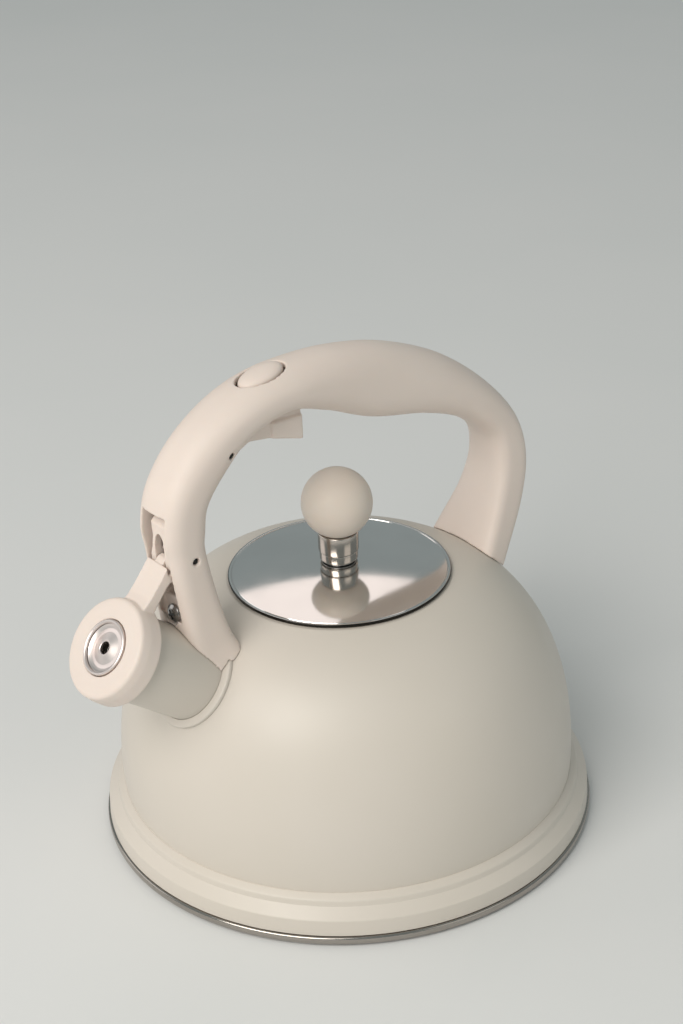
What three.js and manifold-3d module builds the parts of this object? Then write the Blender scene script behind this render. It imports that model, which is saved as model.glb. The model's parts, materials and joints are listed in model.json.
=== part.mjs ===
// Stovetop whistling kettle, rebuilt as the separate pieces it is assembled from.
// Millimetres, +Z up. The origin is the centre of the underside of the base.
// The spout points towards -X and the handle lies in the XZ plane.
import * as THREE from 'three';
import { mergeVertices } from 'three/addons/utils/BufferGeometryUtils.js';
import Module from 'manifold-3d';

const wasm = await Module();
wasm.setup();

// ---------------------------------------------------------------- driving dimensions
const GAP = 0.3;                 // clearance between pieces that touch
const SEGMENTS = 44;             // facets round the large turned parts
const TUBE_SEGMENTS = 28;        // facets round the spout and its cap
const SMALL_SEGMENTS = 16;       // facets round the small turned parts

const BASE_R = 110;              // outer radius of the steel rim
const RIM_BOTTOM = 0.9;
const RIM_TOP = 4.6;
const PAN_FLOOR = 5.0;           // underside of the pan's floor
const PAN_SHEET = 1.0;
const CAP_R = 90;                // radius of the sandwich base
const WALL = 1.2;                // sheet thickness of the enamelled body
const DOME_R = 100.8;            // dome radius where it leaves the stepped band
const DOME_Z = 21;
const MOUTH_EDGE_R = 51;         // outer edge of the flat land round the mouth
const MOUTH_EDGE_Z = 115;
const MOUTH_R = 46.4;            // radius of the mouth
const MOUTH_Z = 115.6;

const LID_R = 48.5;
const LID_Z = MOUTH_Z + GAP;
const LID_SHEET = 1.0;
const LID_CROWN = 5.2;           // rise of the lid from its edge to its centre
const SKIRT_R = 45.4;
const SKIRT_DEPTH = 12;
const BALL_R = 15.4;
const BALL_Z = 149.5;
const FERRULE_R = 8.8;           // upper ferrule
const FERRULE_LOW_R = 8.3;       // lower ferrule
const KNOB_SHANK_R = 2.0;

const SPOUT_ROOT = [-81, 0, 96]; // where the spout's axis meets the dome
const SPOUT_TILT = -52;          // turns +Z onto the spout's axis, degrees about +Y
const TUBE_R = 18;
const TUBE_WALL = 1.0;
const TUBE_START = -6;
const TUBE_END = 44.7;
const COLLAR_R = 21.4;
const COLLAR_THICK = 1.6;

const CAP_SKIRT_START = 39;      // distances along the spout's axis from its root
const CAP_FACE = 49.7;
const CAP_OUT_R = 22;
const CAP_IN_R = 19.3;
const CAP_WALL = 3;
const WHISTLE_R = 11.6;
const WHISTLE_HOLE_R = 2.6;

const LEVER_PIVOT = [-61, 196];  // x, z of the four pivots in the handle
const CAP_PIVOT = [-81.5, 156];
const LINK_TOP = [-78.5, 183];
const LINK_LOW = [-87.5, 154.3];
const PIN_R = 1.25;
const PIN_HALF = 12;             // half-length of the two pins across the handle
const LINK_PIN_R = 1.0;
const PIN_FIT = 0.3;             // radial clearance round every pivot pin
const HANDLE_WALL = 3;
const SLOT_HALF = 7.75;          // half-width of the slot in the front leg
const LEVER_HALF = 4.8;
const CHANNEL_HALF = 7.75;

const BUTTON_X = -35.5;
const BUTTON_Z = 216.5;
const BUTTON_TILT = -12;         // degrees about +Y, square to the grip
const BUTTON_HALF_LENGTH = 10.7;
const BUTTON_HALF_WIDTH = 6.7;
const BUTTON_GAP = 0.9;

// Handle stations: x, z, half-thickness, half-width, squareness of the section.
const HANDLE_STATIONS = [
  [-67, 92, 12.5, 20, 4.5],
  [-75, 114, 10.6, 13.9, 4.2],
  [-79.4, 135, 9.6, 13.2, 3.8],
  [-82.9, 157.5, 9.4, 13, 3.2],
  [-83.2, 167.5, 10.8, 13.1, 3],
  [-80.4, 180, 10.9, 13.2, 2.8],
  [-69.8, 193.9, 11.2, 13.6, 2.5],
  [-52.6, 206.4, 9.6, 14, 2.4],
  [-30, 212, 9.4, 14.5, 2.3],
  [-4.8, 208.8, 12.9, 14.5, 2.3],
  [22, 200.4, 15.9, 14.5, 2.3],
  [51, 190.3, 13.4, 14.5, 2.3],
  [74.2, 176.3, 10, 14, 2.4],
  [89.5, 159.4, 8.4, 12.8, 3],
  [93, 142, 8.9, 13, 4],
  [88.2, 123.9, 8.9, 15, 4.4],
  [77.8, 106, 8.3, 19, 4.4],
  [69, 92, 8, 22, 4.4],
];

// ---------------------------------------------------------------- materials
const finish = (color, roughness, metalness) =>
  new THREE.MeshStandardMaterial({ color, roughness, metalness });
const enamel = finish('#ddd5c4', 0.32, 0);
const nylon = finish('#e8dccf', 0.6, 0);
const polished = finish('#cfcfcc', 0.12, 1);
const satin = finish('#b9b9b6', 0.35, 1);
const aluminium = finish('#a9abad', 0.5, 1);
const springSteel = finish('#8d8f92', 0.4, 1);
const darkScrew = finish('#5d5a55', 0.35, 1);
const silicone = finish('#d8d4cc', 0.7, 0);

// ---------------------------------------------------------------- solid helpers
function toSolid(geometry) {
  const bare = geometry.clone();
  bare.deleteAttribute('normal');
  bare.deleteAttribute('uv');
  const merged = mergeVertices(bare, 1e-4);
  const mesh = new wasm.Mesh({
    numProp: 3,
    vertProperties: new Float32Array(merged.attributes.position.array),
    triVerts: new Uint32Array(merged.index.array),
  });
  return new wasm.Manifold(mesh);
}

function toGeometry(solid) {
  const mesh = solid.getMesh();
  const geometry = new THREE.BufferGeometry();
  geometry.setAttribute('position', new THREE.BufferAttribute(mesh.vertProperties, 3));
  geometry.setIndex(new THREE.BufferAttribute(mesh.triVerts, 1));
  geometry.computeVertexNormals();
  return geometry;
}

const cut = (base, ...tools) => tools.reduce((solid, tool) => solid.subtract(tool), base);
const join = (first, ...others) => others.reduce((solid, other) => solid.add(other), first);

// A closed profile of [radius, height] pairs turned about the Z axis.
function turned(profile, segments = SEGMENTS) {
  const points = profile.map(([r, z]) => new THREE.Vector2(r, z));
  return new THREE.LatheGeometry([...points, points[0]], segments).rotateX(Math.PI / 2);
}

const turnedSolid = (profile, segments) => toSolid(turned(profile, segments));

// A plain rod or disc about Z between two heights.
const rod = (r, low, high, segments = SMALL_SEGMENTS) =>
  turnedSolid([[0, low], [r, low], [r, high], [0, high]], segments);

const ring = (rIn, rOut, low, high, segments = SEGMENTS) =>
  turnedSolid([[rIn, low], [rOut, low], [rOut, high], [rIn, high]], segments);

// An outline of [x, z] pairs made into a plate centred on the XZ plane.
function plate(outline, halfWidth, centreY = 0) {
  const shape = new THREE.Shape(outline.map(([x, z]) => new THREE.Vector2(x, z)));
  const geometry = new THREE.ExtrudeGeometry(shape, { depth: 2 * halfWidth, bevelEnabled: false });
  return toSolid(geometry.rotateX(Math.PI / 2).translate(0, centreY + halfWidth, 0));
}

// A cylinder about an axis along Y through [x, z].
function crossRod([x, z], r, halfLength, segments = SMALL_SEGMENTS) {
  const geometry = new THREE.CylinderGeometry(r, r, 2 * halfLength, segments);
  return toSolid(geometry.translate(x, 0, z));
}

// The frame of the spout: +Z runs out along its axis.
const spoutMatrix = new THREE.Matrix4()
  .makeRotationY(THREE.MathUtils.degToRad(SPOUT_TILT))
  .setPosition(...SPOUT_ROOT);

const onSpout = (geometry) => toSolid(geometry.clone().applyMatrix4(spoutMatrix));
const spoutPoint = (s, n) => {
  const p = new THREE.Vector3(n, 0, s).applyMatrix4(spoutMatrix);
  return [p.x, p.z];
};

// ---------------------------------------------------------------- body profiles
// Dome from the stepped band up to the land round the mouth, offset outwards by a distance.
const domeCurve = new THREE.CubicBezierCurve(
  new THREE.Vector2(DOME_R, DOME_Z),
  new THREE.Vector2(100.2, 15),
  new THREE.Vector2(111.3, 98.7),
  new THREE.Vector2(MOUTH_EDGE_R, MOUTH_EDGE_Z),
);
const DOME_STEPS = 8;

function domePoints(offset) {
  const points = [];
  for (let i = 0; i <= DOME_STEPS; i += 1) {
    const t = i / DOME_STEPS;
    const p = domeCurve.getPoint(t);
    const tangent = domeCurve.getTangent(Math.min(Math.max(t, 0.02), 1));
    points.push([p.x + offset * tangent.y, p.y - offset * tangent.x]);
  }
  return points;
}

// Solid of everything inside the dome, grown by an offset.
function domeEnvelope(offset) {
  const wall = domePoints(offset);
  return turnedSolid([[0, 30], [DOME_R + offset, 30], ...wall.filter(([, z]) => z > 31),
    [0, MOUTH_EDGE_Z + offset + 1]]);
}

const bandOuter = [[109, RIM_TOP + GAP], [108.2, 12], [106.9, 14.3], [104.4, 16.6], [104.1, 17.5],
  [102.6, 19.8]];
const bandInner = [[101.4, 18.9], [103.2, 15.4], [106.8, 11.6], [107.8, RIM_TOP + GAP]];

function bodyShell() {
  const outer = domePoints(0);
  const inner = domePoints(-WALL).reverse();
  const land = [[MOUTH_R, MOUTH_Z], [MOUTH_R, MOUTH_Z - WALL]];
  const shell = turnedSolid([...bandOuter, ...outer, [48.8, MOUTH_Z], ...land, [48.8, MOUTH_Z - WALL],
    ...inner, ...bandInner]);
  const bore = toSolid(new THREE.CylinderGeometry(TUBE_R + GAP, TUBE_R + GAP, 60, SEGMENTS)
    .rotateX(Math.PI / 2).applyMatrix4(spoutMatrix));
  return cut(shell, bore);
}

function basePan() {
  const top = PAN_FLOOR + PAN_SHEET;
  return turnedSolid([
    [0, PAN_FLOOR], [103, PAN_FLOOR], [105, RIM_BOTTOM + 0.4], [106, RIM_BOTTOM], [108.8, RIM_BOTTOM],
    [BASE_R, RIM_BOTTOM + 0.9], [BASE_R, RIM_TOP - 0.8], [109.3, RIM_TOP], [107.2, RIM_TOP],
    [107.2, top - 0.4], [106.6, top], [0, top],
  ]);
}

function baseCap() {
  const top = PAN_FLOOR - GAP;
  return turnedSolid([[0, 0], [CAP_R - 1.2, 0], [CAP_R, 1], [CAP_R, top], [CAP_R - 0.8, top],
    [CAP_R - 0.8, 0.8], [0, 0.8]]);
}

const spreaderDisc = () => rod(CAP_R - 0.8 - GAP, 0.8 + GAP, PAN_FLOOR - GAP, SEGMENTS);

// ---------------------------------------------------------------- spout
const spoutTube = () => turned([[TUBE_R - TUBE_WALL, TUBE_START], [TUBE_R, TUBE_START],
  [TUBE_R, TUBE_END], [TUBE_R - TUBE_WALL, TUBE_END]], TUBE_SEGMENTS);

function spoutCollar() {
  const tall = turned([[TUBE_R + GAP, -20], [COLLAR_R, -20], [COLLAR_R, 20], [TUBE_R + GAP, 20]],
    TUBE_SEGMENTS);
  const skin = domeEnvelope(GAP + COLLAR_THICK).subtract(domeEnvelope(GAP));
  return onSpout(tall).intersect(skin);
}

// ---------------------------------------------------------------- spout cap and whistle
// Side outlines, as [x, z]. The arm stands on the cap's rim; the ears reach back to the cap pin.
const armSide = [
  spoutPoint(CAP_SKIRT_START + 1, 19.6), spoutPoint(CAP_FACE - 3.5, 20.4), spoutPoint(44.8, 26),
  spoutPoint(44.2, 35), [-92.6, 153.6], [-91.9, 154.6], [-91.4, 154.4],
  [-91.2, 151.2], [-86.8, 151.2], spoutPoint(38.9, 36), spoutPoint(39.7, 32),
  spoutPoint(39.7, 24),
];
const earSide = [[-90.6, 147.4], [-89.6, 151.2], [-85.4, 151.2], [-84.5, 157.6], [-81.5, 159.4],
  [-78.9, 158.4], [-78.1, 156], [-78.9, 153.6], [-81.5, 151.4], [-85.6, 147.2]];
const tabSide = [[-90, 149], [-89.5, 154.8], [-88.7, 156], [-87.5, 156.4], [-86.2, 156], [-85.5, 154.8],
  [-85.3, 149]];
const ARM_HALF = 7;
const EAR_HALF = 7;
const TAB_HALF = 1.8;

function spoutCap() {
  const shell = turned([
    [CAP_IN_R, CAP_SKIRT_START], [CAP_OUT_R, CAP_SKIRT_START], [CAP_OUT_R - 0.2, 44], [21.3, 46.8],
    [20.3, 48.6], [18.6, CAP_FACE], [WHISTLE_R + GAP, CAP_FACE], [WHISTLE_R + GAP, CAP_FACE - CAP_WALL],
    [CAP_IN_R, CAP_FACE - CAP_WALL],
  ], TUBE_SEGMENTS);
  const insideSlot = [[-92.8, 140], [-92.8, 165], [-70, 165], [-70, 140]];
  const besideEars = [1, -1].map((side) => plate(insideSlot, 4, side * (EAR_HALF + 4)));
  const arm = cut(plate(armSide, ARM_HALF), ...besideEars);
  const springGap = plate([[-85.4, 151.3], [-85.4, 164], [-74, 164], [-74, 145], [-84.6, 145]], EAR_HALF - 2);
  const ears = cut(plate(earSide, EAR_HALF), springGap);
  const bores = join(crossRod(CAP_PIVOT, PIN_R + PIN_FIT, 12), crossRod(LINK_LOW, LINK_PIN_R + GAP / 2, 12));
  return cut(join(onSpout(shell), arm, ears, plate(tabSide, TAB_HALF)), bores);
}

const capSeal = () => turned([[12.6, 45], [18.9, 45], [18.9, 46.4], [12.6, 46.4]], TUBE_SEGMENTS);

const whistleHousing = () => turned([
  [10.6, 43.8], [WHISTLE_R, 43.8], [WHISTLE_R, 50], [11, 50.4], [10, 50.2], [10, 49.6], [10.6, 49.3],
], TUBE_SEGMENTS);

const whistleFrontDisc = () => turned([
  [WHISTLE_HOLE_R, 48.6], [5, 48], [8.4, 47.2], [10.3, 48.2], [10.3, 49], [8.4, 48], [5, 48.8],
  [WHISTLE_HOLE_R, 49.4],
], TUBE_SEGMENTS);

const whistleRearDisc = () => turned([[WHISTLE_HOLE_R, 44.4], [10.3, 44.4], [10.3, 45.1],
  [WHISTLE_HOLE_R, 45.1]], TUBE_SEGMENTS);

// ---------------------------------------------------------------- handle
// Raises a sine or cosine to a power, keeping its sign and clearing rounding noise near zero.
function signedPower(value, power) {
  return Math.abs(value) < 1e-9 ? 0 : Math.sign(value) * Math.abs(value) ** power;
}

// A limb swept along the stations. Each section is a superellipse; inset thins it all round.
function limb(stations, { inset = 0, half = null, squareness = null, sides = 16, steps = 36 }) {
  const path = new THREE.CatmullRomCurve3(stations.map(([x, z]) => new THREE.Vector3(x, 0, z)));
  const shape = new THREE.CatmullRomCurve3(stations.map(([, , t, w, e]) => new THREE.Vector3(t, w, e)));
  const geometry = new THREE.CylinderGeometry(1, 1, 1, sides, steps);
  const position = geometry.attributes.position;
  for (let i = 0; i < position.count; i += 1) {
    const along = THREE.MathUtils.clamp(position.getY(i) + 0.5, 0, 1);
    const centre = path.getPoint(along);
    const tangent = path.getTangent(along);
    const size = shape.getPoint(along);
    const power = 2 / (squareness ?? size.z);
    const radius = Math.hypot(position.getX(i), position.getZ(i));
    const angle = Math.atan2(position.getZ(i), position.getX(i));
    const thick = radius * (size.x - inset) * signedPower(Math.cos(angle), power);
    const wide = radius * (half ?? size.y - inset) * signedPower(Math.sin(angle), power);
    position.setXYZ(i, centre.x - tangent.z * thick, wide, centre.z + tangent.x * thick);
  }
  const solid = toSolid(geometry);
  return solid.volume() > 0 ? solid : toSolid(flipped(geometry));
}

function flipped(geometry) {
  const index = geometry.index.array;
  for (let i = 0; i < index.length; i += 3) {
    [index[i], index[i + 1]] = [index[i + 1], index[i]];
  }
  return geometry;
}

// Side outlines of the spaces inside the handle, as [x, z].
const slotSide = [[-110, 176.6], [-88, 176.6], [-82, 182], [-72.5, 181], [-76.6, 165], [-76.4, 152],
  [-73.4, 139], [-85, 136], [-85, 125.8], [-92, 131.4], [-110, 131.4]];
const undersideOpening = [[-64, 176], [-67.5, 190], [-60, 203], [-46, 207], [-14.4, 207], [-14.4, 180]];
const frontCut = [[-130, 128.6], [-93.2, 128.6], [-89.8, 124], [-75.2, 101], [-75, 60], [-130, 60]];

function handle() {
  const outer = limb(HANDLE_STATIONS, {});
  const channel = limb(HANDLE_STATIONS.slice(3, 10), {
    inset: HANDLE_WALL, half: CHANNEL_HALF, squareness: 6, sides: 12, steps: 12,
  });
  const spoutRoom = turned([[0, -20], [TUBE_R + GAP, -20], [TUBE_R + GAP, 60], [0, 60]], TUBE_SEGMENTS);
  const collarRoom = turned([[0, -20], [COLLAR_R + GAP, -20], [COLLAR_R + GAP, 20], [0, 20]], TUBE_SEGMENTS);
  return cut(
    outer,
    domeEnvelope(GAP),
    onSpout(spoutRoom),
    onSpout(collarRoom).intersect(domeEnvelope(2 * GAP + COLLAR_THICK)),
    plate(frontCut, 30),
    plate(slotSide, SLOT_HALF),
    channel,
    plate(undersideOpening, LEVER_HALF + 0.5),
    buttonPrism(BUTTON_GAP, -8, 12),
    crossRod(LEVER_PIVOT, PIN_R + GAP, 20),
    crossRod(CAP_PIVOT, PIN_R + GAP, 20),
    plate(frontPocket, BRACKET_HALF + GAP),
    plate(rearPocket, BRACKET_HALF + GAP),
    screwRoom(FRONT_SCREW),
    screwRoom(REAR_SCREW),
  );
}

// ---------------------------------------------------------------- brackets and handle screws
const BRACKET_HALF = 5;
const frontBracketSide = [[-73.2, 114.5], [-66.6, 110.8], [-66.6, 112.6], [-71.7, 115.6], [-71.7, 133.5],
  [-73.2, 133.5]];
const frontPocket = [[-73.6, 108], [-73.6, 134], [-71.2, 134], [-71.2, 117.2], [-66.2, 114], [-66.2, 104]];
const rearBracketSide = [[72.3, 105.7], [76.2, 102.9], [85.9, 120.4], [84.6, 121.1], [75.6, 105.1],
  [73.2, 106.8]];
const rearPocket = [[72, 104], [72, 108.4], [75.2, 106.2], [84.3, 122], [86.6, 120.8], [76.6, 100]];

const FRONT_SCREW = { seat: [-85, 128.8], tilt: -90, grip: 15 };
const REAR_SCREW = { seat: [87.6, 109.2], tilt: 119, grip: 13 };
const SCREW_HEAD_R = 4.2;
const SCREW_HEAD_HEIGHT = 2.4;
const SCREW_SHANK_R = 1.9;

const placed = ({ seat: [x, z], tilt }) =>
  new THREE.Matrix4().makeRotationY(THREE.MathUtils.degToRad(tilt)).setPosition(x, 0, z);

function screw(spec) {
  const profile = [[0, -spec.grip], [SCREW_SHANK_R, 1 - spec.grip], [SCREW_SHANK_R, GAP], [SCREW_HEAD_R, GAP],
    [SCREW_HEAD_R, GAP + 0.8], [SCREW_HEAD_R - 1.2, SCREW_HEAD_HEIGHT], [0, SCREW_HEAD_HEIGHT + 0.2]];
  return turned(profile, SMALL_SEGMENTS).applyMatrix4(placed(spec));
}

function screwRoom(spec) {
  const headR = SCREW_HEAD_R + 0.6;
  const shankR = SCREW_SHANK_R + GAP;
  const low = -spec.grip - GAP;
  const profile = [[0, low], [shankR, low], [shankR, 0], [headR, 0], [headR, 14], [0, 14]];
  return toSolid(turned(profile, SMALL_SEGMENTS).applyMatrix4(placed(spec)));
}

const screwHole = (spec) => {
  const r = SCREW_SHANK_R + GAP;
  return toSolid(turned([[0, -30], [r, -30], [r, 20], [0, 20]], SMALL_SEGMENTS).applyMatrix4(placed(spec)));
};

const bracket = (side, spec) => cut(plate(side, BRACKET_HALF), screwHole(spec));

// ---------------------------------------------------------------- button, lever and link
const buttonMatrix = new THREE.Matrix4()
  .makeRotationY(THREE.MathUtils.degToRad(BUTTON_TILT))
  .setPosition(BUTTON_X, 0, BUTTON_Z);

// Turned profiles stretched to the button's oval.
function oval(profile, margin) {
  return turned(profile, 28)
    .scale(BUTTON_HALF_LENGTH + margin, BUTTON_HALF_WIDTH + margin, 1)
    .applyMatrix4(buttonMatrix);
}

const buttonPrism = (margin, low, high) => toSolid(oval([[0, low], [1, low], [1, high], [0, high]], margin));

const thumbButton = () => oval([[0, -2.6], [0.98, -2.6], [0.98, 2.8], [0.95, 3.8], [0.84, 4.7], [0.6, 5.2],
  [0.3, 5.45], [0, 5.5]], 0);

const leverSide = [[-71.5, 193.5], [-63, 201.2], [-45, 205], [-38, 208.2], [-37.2, 212], [-35.5, 212.9],
  [-33.8, 212], [-33, 208.2], [-20, 205], [-20, 187.8], [-35.6, 192.8], [-46.5, 194.6],
  [-54.5, 190.8], [-61, 191.4], [-66, 191.2]];
const leverNose = [[-66, 191.2], [-76.2, 180.9], [-78.5, 180.2], [-80.8, 181.2], [-81.4, 183.4],
  [-80.3, 185.4], [-71.5, 193.5], [-62, 196]];
const padSide = [[-36, 192.9], [-36, 200.4], [-20, 199.4], [-20, 187.8]];
const NOSE_HALF = 2.2;
const PAD_HALF = 6.2;

function triggerLever() {
  const body = join(plate(leverSide, LEVER_HALF), plate(leverNose, NOSE_HALF), plate(padSide, PAD_HALF));
  const springPocket = cut(crossRod(LEVER_PIVOT, 4.1, 2.6), crossRod(LEVER_PIVOT, 0.1, 3));
  return cut(
    body,
    springPocket,
    crossRod(LEVER_PIVOT, PIN_R + PIN_FIT, 12),
    crossRod(LINK_TOP, LINK_PIN_R + GAP / 2, 12),
  );
}

// The pull link: its side outline, cut to its front outline of [y, z].
const linkSide = [[-90.2, 152.6], [-88.6, 151.9], [-86.2, 152.2], [-85.2, 154.3], [-86.6, 158], [-87.2, 168],
  [-84.2, 173], [-77.4, 180.4], [-75.9, 182.4], [-76.4, 184.4], [-78.6, 185.8], [-80.6, 184.8],
  [-84.9, 177.6], [-85.9, 174.2], [-89.9, 170.8], [-90.4, 160]];
const linkFront = [[6.3, 150], [6.4, 156], [4.9, 160], [4.4, 165], [5.2, 170], [5.8, 176], [5.4, 190]];
const linkWindow = [[3.2, 148], [3.3, 160], [2.6, 164.4], [1.2, 166.3], [0, 166.6]];
const mirrored = (half) => [...half, ...half.map(([y, z]) => [-y, z]).reverse()];

// An outline of [y, z] pairs made into a bar along X.
function crossPlate(outline, xLow, xHigh) {
  const shape = new THREE.Shape(outline.map(([y, z]) => new THREE.Vector2(y, z)));
  const geometry = new THREE.ExtrudeGeometry(shape, { depth: xHigh - xLow, bevelEnabled: false });
  return toSolid(geometry.rotateX(Math.PI / 2).rotateZ(Math.PI / 2).translate(xLow, 0, 0));
}

function pullLink() {
  const front = crossPlate(mirrored(linkFront), -100, -60);
  const window = crossPlate(mirrored(linkWindow), -100, -60);
  const noseRoom = plate([[-84.6, 190], [-84.6, 177.6], [-82, 174.6], [-70, 174.6], [-70, 190]],
    NOSE_HALF + 0.4);
  return cut(
    plate(linkSide, 10).intersect(front),
    window,
    noseRoom,
    crossRod(LINK_TOP, LINK_PIN_R + PIN_FIT, 12),
    crossRod(LINK_LOW, LINK_PIN_R + 2 * PIN_FIT, 12),
  );
}

// ---------------------------------------------------------------- springs
// A coil about Y through [x, z] with a straight leg at each end.
class TorsionPath extends THREE.Curve {
  constructor([x, z], r, turns, halfLength, startAngle, legs) {
    super();
    Object.assign(this, { x, z, r, turns, halfLength, startAngle, legs });
    this.coilShare = 0.76;
  }

  rim(share) {
    const angle = this.startAngle + share * this.turns * 2 * Math.PI;
    const y = (share * 2 - 1) * this.halfLength;
    return new THREE.Vector3(this.x + this.r * Math.cos(angle), y, this.z + this.r * Math.sin(angle));
  }

  getPoint(t, target = new THREE.Vector3()) {
    const legShare = (1 - this.coilShare) / 2;
    if (t < legShare) return this.leg(0, 1 - t / legShare, target);
    if (t > 1 - legShare) return this.leg(1, (t - 1 + legShare) / legShare, target);
    return target.copy(this.rim((t - legShare) / this.coilShare));
  }

  leg(end, far, target) {
    const angle = this.startAngle + end * this.turns * 2 * Math.PI;
    const sign = end ? 1 : -1;
    const start = this.rim(end);
    const reach = far * this.legs[end];
    const x = start.x - sign * Math.sin(angle) * reach;
    const z = start.z + sign * Math.cos(angle) * reach;
    return target.set(x, start.y, z);
  }
}

const round = (r, sides) => new THREE.Shape(
  Array.from({ length: sides }, (_, i) => {
    const angle = (i / sides) * 2 * Math.PI;
    return new THREE.Vector2(r * Math.cos(angle), r * Math.sin(angle));
  }),
);

const wire = (path, r, steps) =>
  new THREE.ExtrudeGeometry(round(r, 6), { steps, extrudePath: path, bevelEnabled: false });

const capSpring = () => wire(new TorsionPath(CAP_PIVOT, 2.5, 4.25, 3.6, 2.2, [4, 3]), 0.4, 56);
const leverSpring = () => wire(new TorsionPath(LEVER_PIVOT, 2.8, 2.25, 1.6, 0.6, [1, 1]), 0.35, 32);

// ---------------------------------------------------------------- pins
const pin = (at, r, halfLength) =>
  new THREE.CylinderGeometry(r, r, 2 * halfLength, SMALL_SEGMENTS).translate(at[0], 0, at[1]);

// ---------------------------------------------------------------- lid and knob
const lidTop = (r) => LID_Z + LID_SHEET + LID_CROWN * (1 - (r / LID_R) ** 2);

function lidCover() {
  const radii = [0, 12, 24, 36, 46.5];
  const top = radii.map((r) => [r, lidTop(r)]).reverse();
  const under = radii.slice(1).map((r) => [r, lidTop(r) - LID_SHEET]);
  const cover = turnedSolid([[0, lidTop(0) - LID_SHEET], ...under, [46.8, LID_Z], [LID_R - 0.4, LID_Z],
    [LID_R, LID_Z + 0.5], [LID_R - 0.3, LID_Z + 1.1], [47.6, LID_Z + 1.3], ...top]);
  return cut(cover, rod(KNOB_SHANK_R + GAP, 100, 130));
}

const SKIRT_TOP = LID_Z - 0.1;
const SKIRT_SHEET = 1.2;

function lidSkirt() {
  const top = SKIRT_TOP;
  const low = LID_Z - SKIRT_DEPTH;
  const innerR = SKIRT_R - 1;
  const hollow = [[0, low - 1], [innerR, low - 1], [innerR, top - SKIRT_SHEET], [0, top - SKIRT_SHEET]];
  return ring(KNOB_SHANK_R + GAP, SKIRT_R, low, top).subtract(turnedSolid(hollow));
}

const KNOB_FOOT = lidTop(0) + GAP;
const FERRULE_SPLIT = 127.1;
const FERRULE_TOP = BALL_Z - BALL_R * 0.86;

const knobWasher = () => ring(KNOB_SHANK_R + GAP, 7.4, KNOB_FOOT, KNOB_FOOT + 0.5, SMALL_SEGMENTS);
const ferruleLower = () => ring(KNOB_SHANK_R + GAP, FERRULE_LOW_R, KNOB_FOOT + 0.8, FERRULE_SPLIT, 32);
const ferruleUpper = () => turned([
  [KNOB_SHANK_R + GAP, FERRULE_SPLIT + GAP], [FERRULE_R - 0.5, FERRULE_SPLIT + GAP],
  [FERRULE_R, FERRULE_SPLIT + 0.8], [FERRULE_R, FERRULE_TOP - 0.9],
  [FERRULE_R - 0.5, FERRULE_TOP - GAP], [KNOB_SHANK_R + GAP, FERRULE_TOP - GAP],
], 32);

function knobBall() {
  const ball = toSolid(new THREE.SphereGeometry(BALL_R, 22, 13).rotateX(Math.PI / 2).translate(0, 0, BALL_Z));
  return cut(ball, rod(40, 100, FERRULE_TOP, 8), rod(KNOB_SHANK_R + GAP, 100, BALL_Z - 1.7));
}

function knobScrew() {
  const seat = SKIRT_TOP - SKIRT_SHEET - GAP;
  return turned([[0, seat - 2], [3.2, seat - 2], [4, seat - 1.2], [4, seat], [KNOB_SHANK_R, seat],
    [KNOB_SHANK_R, BALL_Z - 2.5], [0, BALL_Z - 2]], SMALL_SEGMENTS);
}

// ---------------------------------------------------------------- assembly
const kettle = new THREE.Group();
const spoutFrame = new THREE.Group();
spoutFrame.applyMatrix4(spoutMatrix);
kettle.add(spoutFrame);

function add(group, name, made, material) {
  const mesh = new THREE.Mesh(made.isBufferGeometry ? made : toGeometry(made), material);
  mesh.name = name;
  group.add(mesh);
}

add(kettle, 'body_shell', bodyShell(), enamel);
add(kettle, 'base_pan', basePan(), polished);
add(kettle, 'heat_spreader_disc', spreaderDisc(), aluminium);
add(kettle, 'base_cap', baseCap(), satin);
add(spoutFrame, 'spout_tube', spoutTube(), enamel);
add(kettle, 'spout_collar', spoutCollar(), enamel);
add(kettle, 'front_bracket', bracket(frontBracketSide, FRONT_SCREW), satin);
add(kettle, 'rear_bracket', bracket(rearBracketSide, REAR_SCREW), satin);
add(kettle, 'front_screw', screw(FRONT_SCREW), darkScrew);
add(kettle, 'rear_screw', screw(REAR_SCREW), darkScrew);
add(kettle, 'handle', handle(), nylon);
add(kettle, 'lever_pin', pin(LEVER_PIVOT, PIN_R, PIN_HALF), satin);
add(kettle, 'cap_pin', pin(CAP_PIVOT, PIN_R, PIN_HALF), satin);
add(kettle, 'thumb_button', thumbButton(), nylon);
add(kettle, 'trigger_lever', triggerLever(), nylon);
add(kettle, 'lever_spring', leverSpring(), springSteel);
add(kettle, 'link_pin_upper', pin(LINK_TOP, LINK_PIN_R, 5.2), satin);
add(kettle, 'pull_link', pullLink(), nylon);
add(kettle, 'link_pin_lower', pin(LINK_LOW, LINK_PIN_R, 5.8), satin);
add(kettle, 'spout_cap', spoutCap(), nylon);
add(kettle, 'cap_spring', capSpring(), springSteel);
add(spoutFrame, 'cap_seal', capSeal(), silicone);
add(spoutFrame, 'whistle_housing', whistleHousing(), polished);
add(spoutFrame, 'whistle_front_disc', whistleFrontDisc(), polished);
add(spoutFrame, 'whistle_rear_disc', whistleRearDisc(), satin);
add(kettle, 'lid_cover', lidCover(), polished);
add(kettle, 'lid_skirt', lidSkirt(), satin);
add(kettle, 'knob_washer', knobWasher(), satin);
add(kettle, 'knob_ferrule_lower', ferruleLower(), satin);
add(kettle, 'knob_ferrule_upper', ferruleUpper(), satin);
add(kettle, 'knob_ball', knobBall(), nylon);
add(kettle, 'knob_screw', knobScrew(), satin);

export default kettle;
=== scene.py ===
"""Looks of a stovetop whistling kettle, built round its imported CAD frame.

Shapes are worked out in millimetres and stored in metres, in the CAD frame:
+Z up, the spout towards -X, the handle in the XZ plane.
"""
import json
import math

import bmesh
import bpy
from mathutils import Matrix, Vector


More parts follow.
